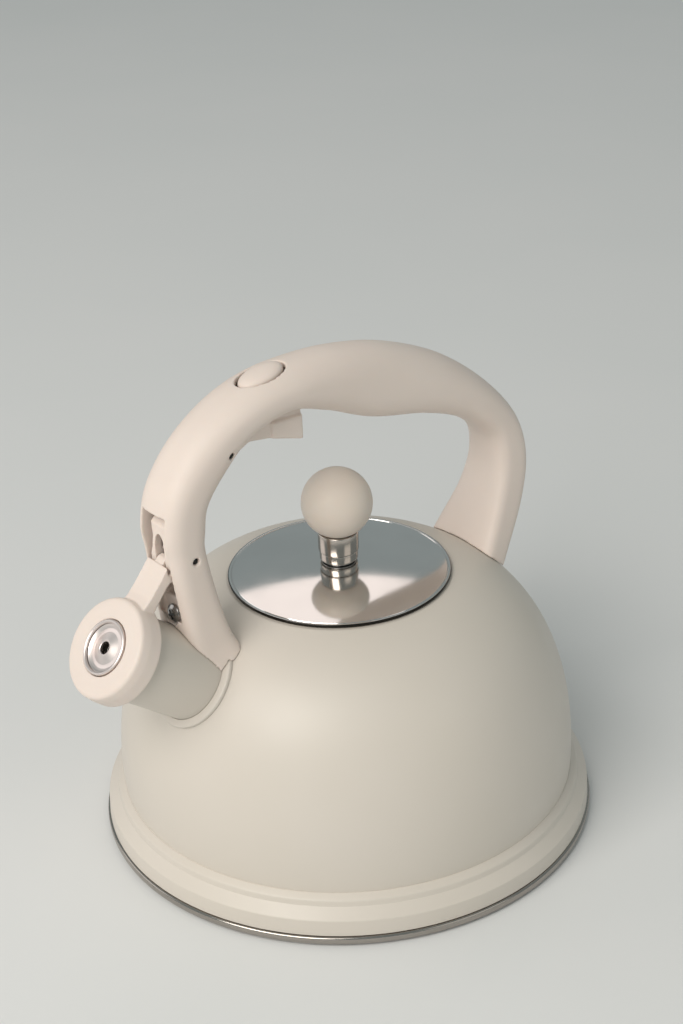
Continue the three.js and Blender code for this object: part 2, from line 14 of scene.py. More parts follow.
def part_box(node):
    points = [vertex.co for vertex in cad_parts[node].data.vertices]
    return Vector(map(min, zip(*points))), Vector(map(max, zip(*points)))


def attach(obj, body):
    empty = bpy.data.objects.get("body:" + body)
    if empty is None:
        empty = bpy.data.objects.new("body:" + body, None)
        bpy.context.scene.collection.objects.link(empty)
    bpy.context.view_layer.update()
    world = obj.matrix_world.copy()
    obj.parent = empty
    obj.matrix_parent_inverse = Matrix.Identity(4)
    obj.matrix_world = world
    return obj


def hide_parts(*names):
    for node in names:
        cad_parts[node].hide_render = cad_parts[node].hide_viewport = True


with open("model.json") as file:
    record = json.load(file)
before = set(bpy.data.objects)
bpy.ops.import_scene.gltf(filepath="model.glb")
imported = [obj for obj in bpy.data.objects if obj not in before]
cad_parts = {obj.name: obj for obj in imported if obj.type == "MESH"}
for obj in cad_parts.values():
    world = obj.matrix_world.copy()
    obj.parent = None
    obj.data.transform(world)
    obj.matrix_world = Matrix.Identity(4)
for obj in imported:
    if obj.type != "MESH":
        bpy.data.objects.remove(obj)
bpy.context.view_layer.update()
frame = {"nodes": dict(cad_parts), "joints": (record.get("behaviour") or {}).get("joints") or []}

MM = 0.001
TURN = 2 * math.pi
FINE = 160            # facets round the large turned pieces
MEDIUM = 96           # facets round the small turned pieces
SHARP = math.radians(40)        # edges sharper than this keep their crease
STRAIGHT = math.radians(177)    # corners flatter than this aren't filleted


# ---------------------------------------------------------------- places taken from the frame
def span(node):
    """Lowest and highest corner of a CAD node, in millimetres."""
    low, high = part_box(node)
    return low / MM, high / MM


def pivot(joint):
    """The (x, z) of a hinge, in millimetres."""
    found = next(j for j in frame["joints"] if j["name"] == joint)
    return found["pos_m"][0] / MM, found["pos_m"][2] / MM


def middle(node):
    """The (x, z) of a CAD node's centre, in millimetres."""
    low, high = span(node)
    return (low.x + high.x) / 2, (low.z + high.z) / 2


BASE_R = span("base_pan")[1].x
RIM_LOW = span("base_pan")[0].z
WALL_LOW = span("body_shell")[0].z
MOUTH_Z = span("body_shell")[1].z
CAP_R = span("base_cap")[1].x
LID_Z = span("lid_cover")[0].z
LID_R = span("lid_cover")[1].x
LID_TOP = span("lid_cover")[1].z
SKIRT_LOW = span("lid_skirt")[0].z
SKIRT_R = span("lid_skirt")[1].x
BALL_TOP = span("knob_ball")[1].z
BALL_R = 15.4
BALL_Z = BALL_TOP - BALL_R
KNOB_BORE_R = 2.3     # hole for the knob's screw
LEVER_PIVOT = pivot("lever_press")
CAP_PIVOT = pivot("cap_open")
LINK_TOP = pivot("link_swing")
LINK_LOW = middle("link_pin_lower")

SPOUT_ROOT = Vector((-81, 0, 96))
SPOUT_TILT = math.radians(-52)
TUBE_R = 18
TUBE_END = 44.7
COLLAR_R = 21.4
CAP_FACE = 49.7       # distance of the cap's face along the spout's axis
WHISTLE_R = 11.6
WHISTLE_HOLE_R = 2.6
DISH_SHEET = 0.7
ON_SPOUT = Matrix.Translation(SPOUT_ROOT) @ Matrix.Rotation(SPOUT_TILT, 4, "Y")

HOLE_R = 1.55         # pin holes in the handle
BUTTON_AT = Vector((-35.5, 0, 216.5))
BUTTON_TILT = math.radians(-12)
BUTTON_GAP = 0.95
BUTTON_SIZE = (10.7, 6.7)    # half-length and half-width of its oval
ON_BUTTON = Matrix.Translation(BUTTON_AT) @ Matrix.Rotation(BUTTON_TILT, 4, "Y")

# Half-widths of the mouldings in the handle, each centred on the XZ plane.
ARM_HALF = 7
TAB_HALF = 2.75
EAR_GAP_HALF = 5
SLOT_HALF = 7.75
UNDERSIDE_HALF = 5.3
POCKET_HALF = 5.2
LEVER_HALF = 4.8
NOSE_HALF = 2.2
PAD_HALF = 6.2
NOSE_ROOM_HALF = 2.6

THROUGH = 12          # half-length of a drill that passes through all of them
LINK_X = -80          # middle of the cuts that shape the link's front
LINK_REACH = 20       # half of the depth of those cuts


# ---------------------------------------------------------------- mesh helpers
def to_object(name, bm):
    """An object in metres from a bmesh in millimetres, smooth but for its sharp edges."""
    bmesh.ops.remove_doubles(bm, verts=bm.verts, dist=1e-4)
    bmesh.ops.recalc_face_normals(bm, faces=bm.faces)
    bmesh.ops.scale(bm, vec=(MM, MM, MM), verts=bm.verts)
    mesh = bpy.data.meshes.new(name)
    bm.to_mesh(mesh)
    bm.free()
    mesh.shade_smooth()
    mesh.set_sharp_from_angle(angle=SHARP)
    obj = bpy.data.objects.new(name, mesh)
    bpy.context.scene.collection.objects.link(obj)
    return obj


def rounded(points, radius, steps=4):
    """The closed outline with filleted corners. A corner given as (x, y, r) has its own radius."""
    made = []
    count = len(points)
    for i, corner in enumerate(points):
        at = Vector(corner[:2])
        wanted = corner[2] if len(corner) > 2 else radius
        back = Vector(points[i - 1][:2]) - at
        ahead = Vector(points[(i + 1) % count][:2]) - at
        if wanted <= 0 or min(back.length, ahead.length) < 1e-6 or back.angle(ahead) > STRAIGHT:
            made.append(tuple(at))
            continue
        angle = back.angle(ahead)
        reach = min(wanted / math.tan(angle / 2), 0.48 * back.length, 0.48 * ahead.length)
        start = at + back.normalized() * reach
        end = at + ahead.normalized() * reach
        for k in range(steps + 1):
            t = k / steps
            made.append(tuple(start.lerp(at, t).lerp(at.lerp(end, t), t)))
    return made


def lathe(name, profile, segments=MEDIUM, place=None):
    """A closed profile of (radius, height) points turned about Z."""
    bm = bmesh.new()
    rings = []
    for r, z in profile:
        if r < 1e-6:
            rings.append([bm.verts.new((0, 0, z))] * segments)
            continue
        angles = [TURN * k / segments for k in range(segments)]
        rings.append([bm.verts.new((r * math.cos(a), r * math.sin(a), z)) for a in angles])
    join_rings(bm, rings, closed=True)
    if place is not None:
        bmesh.ops.transform(bm, matrix=place, verts=bm.verts)
    return to_object(name, bm)


def join_rings(bm, rings, closed=False):
    """Faces between neighbouring rings of as many points, and a cap on each open end."""
    pairs = list(zip(rings, rings[1:]))
    if closed:
        pairs.append((rings[-1], rings[0]))
    for a, b in pairs:
        for k in range(len(a)):
            after = (k + 1) % len(a)
            corners = list(dict.fromkeys((a[k], a[after], b[after], b[k])))
            if len(corners) > 2:
                bm.faces.new(corners)
    if not closed:
        bm.faces.new(rings[0])
        bm.faces.new(rings[-1][::-1])


def slab(name, outline, half, centre=0.0, bevel=0.0, across="Y"):
    """An outline extruded along Y from (x, z) points, or along X from (y, z) points."""
    bm = bmesh.new()
    sides = []
    for offset in (centre - half, centre + half):
        if across == "Y":
            sides.append([bm.verts.new((x, offset, z)) for x, z in outline])
        else:
            sides.append([bm.verts.new((offset, y, z)) for y, z in outline])
    join_rings(bm, sides)
    if bevel:
        bmesh.ops.recalc_face_normals(bm, faces=bm.faces)
        caps = [f for f in bm.faces if len(f.verts) == len(outline)]
        rim = list({e for f in caps for e in f.edges})
        bmesh.ops.bevel(bm, geom=rim, offset=bevel, segments=3, profile=0.5, affect="EDGES")
    return to_object(name, bm)


def cross_rod(name, at, r, half, rim=0.3):
    """A rod along Y through the (x, z) point, with chamfered ends."""
    place = Matrix.Translation((at[0], 0, at[1])) @ Matrix.Rotation(math.pi / 2, 4, "X")
    profile = [(0, -half), (r - rim, -half), (r, rim - half), (r, half - rim), (r - rim, half), (0, half)]
    return lathe(name, profile, 48, place)


def settle(obj):
    """Turns the object's modifiers into its mesh."""
    graph = bpy.context.evaluated_depsgraph_get()
    mesh = bpy.data.meshes.new_from_object(obj.evaluated_get(graph), depsgraph=graph)
    obj.modifiers.clear()
    obj.data = mesh


def combine(obj, others, operation="DIFFERENCE"):
    """Cuts the other objects out of obj, or unites them with it, and removes them."""
    for other in others:
        modifier = obj.modifiers.new("combine", "BOOLEAN")
        modifier.operation = operation
        modifier.solver = "MANIFOLD"
        modifier.object = other
        settle(obj)
        bpy.data.objects.remove(other)


def soften(obj, voxel, passes, keep):
    """Remeshes a solid evenly, so that all its edges take the small radius of a moulding."""
    remesh = obj.modifiers.new("remesh", "REMESH")
    remesh.mode = "VOXEL"
    remesh.voxel_size = voxel * MM
    smooth = obj.modifiers.new("smooth", "SMOOTH")
    smooth.factor = 0.5
    smooth.iterations = passes
    thin = obj.modifiers.new("thin", "DECIMATE")
    thin.ratio = keep
    settle(obj)
    obj.data.shade_smooth()


# ---------------------------------------------------------------- materials
class Nodes:
    """Builds one procedural material in object coordinates, which are the CAD frame's metres."""

    def __init__(self, name, colour, roughness, metallic=0.0, **sockets):
        self.material = bpy.data.materials.new(name)
        self.material.use_nodes = True
        self.tree = self.material.node_tree
        self.shader = self.tree.nodes["Principled BSDF"]
        self.set("Base Color", (*colour, 1))
        self.set("Roughness", roughness)
        self.set("Metallic", metallic)
        for socket, value in sockets.items():
            self.set(socket.replace("_", " "), value)
        self.place = self.add("ShaderNodeTexCoord").outputs["Object"]

    def add(self, kind, **inputs):
        node = self.tree.nodes.new(kind)
        for socket, value in inputs.items():
            self.feed(node.inputs[socket.replace("_", " ")], value)
        return node

    def feed(self, socket, value):
        if isinstance(value, bpy.types.NodeSocket):
            self.tree.links.new(value, socket)
        else:
            socket.default_value = value

    def set(self, socket, value):
        self.feed(self.shader.inputs[socket], value)

    def noise(self, scale, detail=3.0, vector=None):
        place = vector or self.place
        return self.add("ShaderNodeTexNoise", Vector=place, Scale=scale, Detail=detail).outputs["Fac"]

    def spread(self, value, low, high, start=0.3, end=0.7):
        """Maps a noise value onto a range."""
        node = self.add("ShaderNodeMapRange", Value=value, From_Min=start, From_Max=end, To_Min=low,
                        To_Max=high)
        return node.outputs["Result"]

    def mix(self, share, first, second):
        """A colour between two others."""
        node = self.tree.nodes.new("ShaderNodeMix")
        node.data_type = "RGBA"
        self.feed(node.inputs["Factor"], share)
        self.feed(node.inputs[6], (*first, 1) if isinstance(first, tuple) else first)
        self.feed(node.inputs[7], (*second, 1) if isinstance(second, tuple) else second)
        return node.outputs[2]

    def bump(self, height, depth, strength=1.0, normal=None):
        """Raises the surface by depth millimetres where height is 1."""
        node = self.add("ShaderNodeBump", Height=height, Distance=depth * MM, Strength=strength)
        if normal is not None:
            self.feed(node.inputs["Normal"], normal)
        return node.outputs["Normal"]

    def turned_place(self):
        """Distance from the Z axis and height, the same all round, for lathe marks."""
        split = self.add("ShaderNodeSeparateXYZ", Vector=self.place)
        flat = self.add("ShaderNodeCombineXYZ", X=split.outputs["X"], Y=split.outputs["Y"])
        length = self.tree.nodes.new("ShaderNodeVectorMath")
        length.operation = "LENGTH"
        self.feed(length.inputs[0], flat.outputs["Vector"])
        made = self.add("ShaderNodeCombineXYZ", X=length.outputs["Value"], Z=split.outputs["Z"])
        return made.outputs["Vector"]

    def beyond(self, radius, width):
        """0 inside a radius about the Z axis and 1 outside it, over a width in millimetres."""
        reach = self.add("ShaderNodeSeparateXYZ", Vector=self.turned_place()).outputs["X"]
        return self.spread(reach, 0, 1, (radius - width) * MM, radius * MM)


def enamel():
    """Cream enamel: glossy, with a faint orange peel and slow changes of tone."""
    m = Nodes("enamel", (0.62, 0.565, 0.49), 0.45, Coat_Weight=0.2, Coat_Roughness=0.42)
    tone = m.noise(14, 2)
    m.set("Base Color", m.mix(m.spread(tone, 0, 1), (0.625, 0.574, 0.505), (0.64, 0.589, 0.528)))
    m.set("Roughness", m.spread(m.noise(45, 4), 0.42, 0.52))
    peel = m.bump(m.noise(420, 2), 0.02, 0.5)
    m.set("Normal", m.bump(m.noise(2600, 2), 0.004, 0.5, peel))
    return m.material


def nylon(name="nylon", light=(0.77, 0.675, 0.61), dark=(0.74, 0.64, 0.575), glow=0.06):
    """Moulded nylon: a fine matt grain over slow changes of tone."""
    m = Nodes(name, light, 0.5, Subsurface_Weight=glow, Subsurface_Scale=0.004, Specular_IOR_Level=0.4)
    m.set("Subsurface Radius", (1.0, 0.6, 0.35))
    m.set("Base Color", m.mix(m.spread(m.noise(22, 5), 0, 1), light, dark))
    m.set("Roughness", m.spread(m.noise(160, 5), 0.43, 0.56))
    grain = m.bump(m.noise(2400, 4), 0.02, 0.55)
    m.set("Normal", m.bump(m.noise(260, 2), 0.012, 0.4, grain))
    return m.material


def polished(name, wave, haze, tone, painted_shade_r=None, tint=(1.03, 1.01, 0.99)):
    """Polished steel with slight waves and wiped haze; beyond a given radius the colour turns near black as
    painted shade.
    """
    m = Nodes(name, (tone, tone, tone), 0.07, 1.0)
    bright, dull = (tuple(tone * share * level for share in tint) for level in (1, 0.93))
    colour = m.mix(m.spread(m.noise(30, 3), 0, 1), bright, dull)
    if painted_shade_r:
        # Painted shade: near black beyond the radius, standing for the dark gap under a rolled rim.
        colour = m.mix(m.beyond(painted_shade_r, 0.35), colour, (0.03, 0.028, 0.025))
    m.set("Base Color", colour)
    m.set("Roughness", m.spread(m.noise(55, 6), haze, haze + 0.07))
    slow = m.bump(m.noise(26, 1), wave, 1.0)
    m.set("Normal", m.bump(m.noise(900, 5, m.turned_place()), 0.0012, 0.6, slow))
    return m.material


def turned_steel():
    """Steel with fine rings from the lathe."""
    tone = 0.56
    m = Nodes("turned_steel", (tone, tone * 0.98, tone * 0.95), 0.26, 1.0, Anisotropic=0.55)
    rings = m.noise(5200, 5, m.turned_place())
    m.set("Base Color", m.mix(m.spread(rings, 0, 1), (tone * 0.92, tone * 0.9, tone * 0.87),
                              (tone * 1.1, tone * 1.08, tone * 1.04)))
    m.set("Roughness", m.spread(rings, 0.21, 0.34))
    m.set("Normal", m.bump(rings, 0.006, 0.6))
    return m.material


def drawn_steel(name="drawn_steel", tone=0.5, roughness=0.3):
    """Plain steel of pins, wire and sheet, with a cloudy surface."""
    m = Nodes(name, (tone, tone, tone), roughness, 1.0)
    cloud = m.noise(700, 6)
    m.set("Base Color", m.mix(m.spread(cloud, 0, 1), (tone * 0.85,) * 3,
                              (tone * 1.12, tone * 1.1, tone * 1.06)))
    m.set("Roughness", m.spread(m.noise(300, 6), roughness - 0.08, roughness + 0.14))
    m.set("Normal", m.bump(m.noise(2200, 5), 0.004, 0.6))
    return m.material


def silicone():
    """Soft translucent seal."""
    m = Nodes("silicone", (0.72, 0.71, 0.68), 0.5, Subsurface_Weight=0.3, Subsurface_Scale=0.002)
    m.set("Base Color", m.mix(m.spread(m.noise(200, 4), 0, 1), (0.74, 0.73, 0.70), (0.66, 0.65, 0.62)))
    m.set("Roughness", m.spread(m.noise(400, 4), 0.42, 0.6))
    m.set("Normal", m.bump(m.noise(1800, 3), 0.01, 0.5))
    return m.material


def pale_floor():
    """Plain pale paper."""
    m = Nodes("pale_floor", (0.74, 0.75, 0.745), 0.7)
    m.set("Base Color", m.mix(m.spread(m.noise(6, 2), 0, 1), (0.735, 0.745, 0.74), (0.75, 0.755, 0.75)))
    m.set("Normal", m.bump(m.noise(900, 5), 0.02, 0.3))
    return m.material


ENAMEL = enamel()
NYLON = nylon()
KNOB_NYLON = nylon("knob_nylon", (0.70, 0.625, 0.55), (0.68, 0.60, 0.525), 0.18)
# The lid's outermost 0.25 mm is painted near black as the shade of the gap under its rim.
LID_STEEL = polished("lid_steel", 0.09, 0.06, 0.74, LID_R - 0.25)
FERRULE = polished("ferrule_steel", 0.01, 0.15, 0.5, tint=(1.1, 1.0, 0.91))
WHISTLE_STEEL = polished("whistle_steel", 0.01, 0.32, 0.76, tint=(1.1, 1.0, 0.96))
# The base rim's low tone and warm tint are painted shade: they stand for the darker surroundings it mirrors,
# not a darker steel.
RIM_STEEL = polished("rim_steel", 0.02, 0.13, 0.38, tint=(1.08, 1.0, 0.92))
TURNED = turned_steel()
DRAWN = drawn_steel()
ALUMINIUM = drawn_steel("aluminium", 0.66, 0.42)
SPRING = drawn_steel("spring_steel", 0.4, 0.3)
SCREW_STEEL = drawn_steel("screw_steel", 0.34, 0.24)
# Near-black steel for the two long pins: painted shade for the deep shadow in their holes.
PAINTED_PIN_SHADE = drawn_steel("painted_pin_shade", 0.035, 0.45)
SILICONE = silicone()


def finish_piece(obj, material, body, slot, *nodes):
    """Gives a piece its material, its body and the CAD nodes that it stands for."""
    obj.data.materials.clear()
    obj.data.materials.append(material)
    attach(obj, body)
    if nodes:
        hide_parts(*nodes)


# ---------------------------------------------------------------- base and body
def dome_curve(offset=0.0, steps=72):
    """The dome from the stepped band to the land round the mouth, moved outwards by offset."""
    knots = [Vector(p) for p in ((100.8, 21), (100.2, 15), (111.3, 98.7), (51, 115))]
    made = [(knots[0].x + offset, knots[0].y)]
    for i in range(1, steps + 1):
        t = i / steps
        a, b, c = (knots[k].lerp(knots[k + 1], t) for k in range(3))
        d, e = a.lerp(b, t), b.lerp(c, t)
        at = d.lerp(e, t)
        if at.y <= knots[0].y:    # the curve dips slightly before it rises
            continue
        along = (e - d).normalized()
        made.append((at.x + offset * along.y, at.y - offset * along.x))
    return made


def dome_radius(height, offset):
    """Radius of the offset dome at a height."""
    points = dome_curve(offset)
    for (r0, z0), (r1, z1) in zip(points, points[1:]):
        if z0 <= height <= z1:
            return r0 + (r1 - r0) * (height - z0) / (z1 - z0)
    return points[0][0] if height < points[0][1] else 0.0


def body_shell():
    wall = 1.2
    bore_r = TUBE_R + 0.15
    lip = [(49.4, MOUTH_Z - 0.05, 0.8), (46.4, MOUTH_Z, 0.5), (46.4, MOUTH_Z - wall, 0.3),
           (49.2, MOUTH_Z - wall - 0.05, 0.6)]
    band = [(107.8, WALL_LOW, 0.2), (109, WALL_LOW, 0.3), (108.6, 12.2, 1.2), (104.3, 16.5, 0.35),
            (103.9, 19, 1.6), (101.2, 20.9, 0.2)]
    inner_band = [(100.2, 19.4, 1.0), (102.9, 16, 1.0), (106.9, 11.8, 1.2)]
    outline = [*band, *((*p, 0) for p in dome_curve()), *lip,
               *((*p, 0) for p in reversed(dome_curve(-wall, 40))), *inner_band]
    shell = lathe("body_shell_skin", rounded(outline, 0, steps=5), FINE)
    bore = lathe("bore", [(0, -30), (bore_r, -30), (bore_r, 30), (0, 30)], MEDIUM, ON_SPOUT)
    combine(shell, [bore])
    shell.data.set_sharp_from_angle(angle=SHARP)
    finish_piece(shell, ENAMEL, "kettle", "enamel", "body_shell")


def base_parts():
    floor = WALL_LOW + 0.1
    rim_top = WALL_LOW - 0.3
    pan = rounded([(0, floor, 0), (103.2, floor, 0.6), (105, RIM_LOW + 0.2, 0.6), (106.4, RIM_LOW, 0.4),
                   (BASE_R, RIM_LOW, 1.5), (BASE_R, rim_top, 1.3), (107.2, rim_top, 0.5),
                   (107.2, floor + 1, 0.5), (0, floor + 1, 0)], 0.3, steps=5)
    finish_piece(lathe("base_rim", pan, FINE), RIM_STEEL, "kettle", "polished_steel", "base_pan")
    top = WALL_LOW - 0.2
    shell = rounded([(0, 0, 0), (CAP_R, 0, 1.2), (CAP_R, top, 0.2), (CAP_R - 0.8, top, 0.2),
                     (CAP_R - 0.8, 0.8, 0.6), (0, 0.8, 0)], 0, steps=5)
    finish_piece(lathe("base_disc", shell, FINE), TURNED, "kettle", "brushed_steel", "base_cap")
    core = rounded([(0, 1.1, 0), (CAP_R - 1.1, 1.1), (CAP_R - 1.1, top), (0, top, 0)], 0.4)
    finish_piece(lathe("spreader_disc", core, MEDIUM), ALUMINIUM, "kettle", "aluminium", "heat_spreader_disc")


# ---------------------------------------------------------------- spout
def spout_parts():
    outline = rounded([(TUBE_R - 1, -6), (TUBE_R, -6), (TUBE_R, TUBE_END), (TUBE_R - 1, TUBE_END)], 0.35)
    tube = lathe("spout_pipe", outline, FINE, ON_SPOUT)
    finish_piece(tube, ENAMEL, "kettle", "enamel", "spout_tube")
    inner_r = TUBE_R + 0.1
    section = rounded([(inner_r, 0.25), (COLLAR_R, 0.25), (COLLAR_R, 1.75, 0.9), (inner_r, 1.9, 0.4)], 0.15)
    bm = bmesh.new()
    rings = []
    for k in range(MEDIUM):
        angle = TURN * k / MEDIUM
        rings.append([bm.verts.new(collar_point(angle, r, offset)) for r, offset in section])
    join_rings(bm, rings, closed=True)
    finish_piece(to_object("spout_collar_ring", bm), ENAMEL, "kettle", "enamel", "spout_collar")


def collar_point(angle, r, offset):
    """Where a line along the spout at that angle and radius meets the offset dome."""
    low, high = -20.0, 24.0
    for _ in range(26):
        reach = (low + high) / 2
        point = ON_SPOUT @ Vector((r * math.cos(angle), r * math.sin(angle), reach))
        inside = math.hypot(point.x, point.y) < dome_radius(point.z, offset)
        low, high = (reach, high) if inside else (low, reach)
    return point


# ---------------------------------------------------------------- spout cap and whistle
def on_side(along, out):
    """The (x, z) point at a distance along the spout's axis and out from it."""
    point = ON_SPOUT @ Vector((out, 0, along))
    return point.x, point.z


def spout_cap():
    seat_r = WHISTLE_R + 0.3
    inner_face = CAP_FACE - 3
    shell = rounded([(19.3, 39), (22, 39, 0.6), (21.7, 45, 3), (20.9, CAP_FACE - 0.3, 2),
                     (17.4, CAP_FACE, 1.2), (seat_r, CAP_FACE - 0.1, 0.4), (seat_r, inner_face),
                     (19.3, inner_face)], 0.3, steps=6)
    arm_side = rounded([on_side(40, 19.4), on_side(46.4, 20), (*on_side(44.8, 24.5), 6),
                        (*on_side(44.3, 34), 4), (-92.6, 153.7, 0.8), (-91.9, 154.6, 0.4),
                        (-91.4, 154.4, 0.3), (-91.2, 151.2, 0.3), (-86.6, 151.4), on_side(38.8, 37),
                        (*on_side(39.7, 32), 4), on_side(39.7, 22)], 0.6)
    ear_side = rounded([(-91, 147.2), (-90, 151.2), (-85.4, 151.6), (-84.6, 157.2), (-81.5, 159.3),
                        (-78.8, 158.2), (-78.2, 156), (-78.8, 153.8), (-81.5, 151.4), (-85.6, 147.2)], 1.2)
    tab_side = rounded([(-91.3, 148.8), (-91.2, 154.6), (-89.6, 156.2), (-87.5, 156.8), (-85.5, 155),
                        (-85.3, 148.8)], 1)
    arm = slab("arm", arm_side, ARM_HALF, bevel=0.8)
    # The slot's walls, with a gap of 0.6, trim the sides of the arm's upper end.
    slot = [(-92.8, 140), (-92.8, 165), (-70, 165), (-70, 140)]
    wall_half = 4
    beside = SLOT_HALF - 0.6 + wall_half
    combine(arm, [slab("room", slot, wall_half, y) for y in (beside, -beside)])
    ears = slab("ears", ear_side, ARM_HALF, bevel=0.4)
    gap = rounded([(-85.4, 151.3), (-85.4, 164), (-74, 164), (-74, 145), (-84.6, 145)], 0.8)
    combine(ears, [slab("gap", gap, EAR_GAP_HALF)])
    cap = lathe("spout_cap_moulding", shell, MEDIUM, ON_SPOUT)
    combine(cap, [arm, ears, slab("tab", tab_side, TAB_HALF, bevel=0.4)], "UNION")
    combine(cap, [cross_rod("bore", CAP_PIVOT, 1.6, THROUGH), cross_rod("bore", LINK_LOW, 1.1, THROUGH)])
    soften(cap, 0.36, 7, 0.55)
    finish_piece(cap, NYLON, "spout_cap", "nylon", "spout_cap")


def whistle_parts():
    seal = rounded([(12.6, 45), (18.9, 45), (18.9, 46.4), (12.6, 46.4)], 0.3)
    finish_piece(lathe("cap_seal_ring", seal, MEDIUM, ON_SPOUT), SILICONE, "spout_cap", "silicone",
                 "cap_seal")
    cup = rounded([(10.7, 43.8), (WHISTLE_R, 43.8), (WHISTLE_R, 50.1, 0.9), (11, 50.4, 0.4),
                   (10.3, 50.15, 0.4), (10.0, 49.3, 0.3), (10.7, 49)], 0.15, steps=6)
    finish_piece(lathe("whistle_cup", cup, MEDIUM, ON_SPOUT), WHISTLE_STEEL, "spout_cap", "polished_steel",
                 "whistle_housing")
    dish = [(WHISTLE_HOLE_R, 49.2), (3.0, 49.35), (3.9, 49.1), (5.2, 48.7), (6.8, 48.25), (8.3, 48.1),
            (9.3, 48.45), (10.2, 49.0)]
    under = [(r, s - DISH_SHEET) for r, s in reversed(dish)]
    front = rounded([*dish, *under], 0.3)
    finish_piece(lathe("whistle_dish", front, MEDIUM, ON_SPOUT), WHISTLE_STEEL, "spout_cap", "polished_steel",
                 "whistle_front_disc")
    rear = rounded([(WHISTLE_HOLE_R, 44.4), (10.3, 44.4), (10.3, 45.1), (WHISTLE_HOLE_R, 45.1)], 0.15)
    finish_piece(lathe("whistle_plate", rear, MEDIUM, ON_SPOUT), TURNED, "spout_cap", "brushed_steel",
                 "whistle_rear_disc")


# ---------------------------------------------------------------- handle
# Handle stations: x, z, half-thickness, half-width, squareness of the section.
STATIONS = [
    (-67, 92, 12.5, 20, 4.5), (-75, 114, 10.6, 13.9, 4.2), (-79.4, 135, 9.6, 13.2, 3.8),
    (-82.9, 157.5, 9.4, 13, 3.2), (-83.2, 167.5, 10.8, 13.1, 3),
    (-80.4, 180, 10.9, 13.2, 2.8), (-69.8, 193.9, 11.2, 13.6, 2.5), (-52.6, 206.4, 9.6, 14, 2.4),
    (-30, 212, 9.4, 14.5, 2.3), (-4.8, 208.8, 12.9, 14.5, 2.3), (22, 200.4, 15.9, 14.5, 2.3),
    (51, 190.3, 13.4, 14.5, 2.3), (74.2, 176.3, 10, 14, 2.4), (89.5, 159.4, 8.4, 12.8, 3),
    (93, 142, 8.9, 13, 4), (88.2, 123.9, 8.9, 15, 4.4), (77.8, 106, 8.3, 19, 4.4), (69, 92, 8, 22, 4.4),
]


def spline(points, t):
    """Centripetal Catmull-Rom curve through the points, for t from 0 to 1."""
    last = len(points) - 1
    place = min(max(t, 0), 1) * last
    i = min(int(place), last - 1)
    w = place - i
    p1, p2 = points[i], points[i + 1]
    p0 = points[i - 1] if i else 2 * p1 - p2
    p3 = points[i + 2] if i + 2 <= last else 2 * p2 - p1
    d0, d1, d2 = (math.sqrt((b - a).length) for a, b in ((p0, p1), (p1, p2), (p2, p3)))
    m1 = ((p1 - p0) / d0 - (p2 - p0) / (d0 + d1) + (p2 - p1) / d1) * d1
    m2 = ((p2 - p1) / d1 - (p3 - p1) / (d1 + d2) + (p3 - p2) / d2) * d1
    return p1 + m1 * w + (3 * (p2 - p1) - 2 * m1 - m2) * w ** 2 + (2 * (p1 - p2) + m1 + m2) * w ** 3


def signed_power(value, power):
    return 0.0 if abs(value) < 1e-9 else math.copysign(abs(value) ** power, value)


def limb(name, stations, inset=0.0, half=None, squareness=None, sides=72, steps=230):
    """A limb swept along the stations, with a superellipse for its section.

    The section is shrunk by inset, and its half-width and squareness can be given instead."""
    path = [Vector((s[0], s[1])) for s in stations]
    shape = [Vector(s[2:]) for s in stations]
    bm = bmesh.new()
    rings = []
    for i in range(steps + 1):
        t = i / steps
        centre = spline(path, t)
        along = (spline(path, t + 1e-4) - spline(path, t - 1e-4)).normalized()
        thick, wide, square = spline(shape, t)
        power = 2 / (squareness or square)
        ring = []
        for k in range(sides):
            angle = TURN * k / sides
            out = (thick - inset) * signed_power(math.cos(angle), power)
            across = (half or wide - inset) * signed_power(math.sin(angle), power)
            ring.append(bm.verts.new((centre.x - along.y * out, across, centre.y + along.x * out)))
        rings.append(ring)
    join_rings(bm, rings)
    return to_object(name, bm)


def dome_solid(offset):
    """Everything inside the dome, grown by an offset."""
    wall = [p for p in dome_curve(offset, 40) if p[1] > 31]
    outline = [(0, 30), (100.8 + offset, 30), *wall, (0, 116 + offset)]
    return lathe("dome_room", outline, FINE)


def turned_room(r, low, high, place):
    return lathe("room", [(0, low), (r, low), (r, high), (0, high)], MEDIUM, place)


def oval(profile, margin=0.0):
    """A turned profile stretched to the button's oval, grown by a margin."""
    stretch = Matrix.Diagonal((BUTTON_SIZE[0] + margin, BUTTON_SIZE[1] + margin, 1, 1))
    return lathe("button_shape", profile, MEDIUM, ON_BUTTON @ stretch)


SCREWS = {
    "front_screw": {"seat": (-85, 128.8), "tilt": -90, "grip": 15},
    "rear_screw": {"seat": (87.6, 109.2), "tilt": 119, "grip": 13},
}
SCREW_HEAD_R = 4.2
SCREW_R = 1.9

# Room for the two brackets inside the handle, as (x, z).
FRONT_POCKET = [(-73.6, 108), (-73.6, 134), (-71.2, 134), (-71.2, 117.2), (-66.2, 114), (-66.2, 104)]
REAR_POCKET = [(72, 104), (72, 108.4), (75.2, 106.2), (84.3, 122), (86.6, 120.8), (76.6, 100)]


def screw_place(spec):
    x, z = spec["seat"]
    return Matrix.Translation((x, 0, z)) @ Matrix.Rotation(math.radians(spec["tilt"]), 4, "Y")


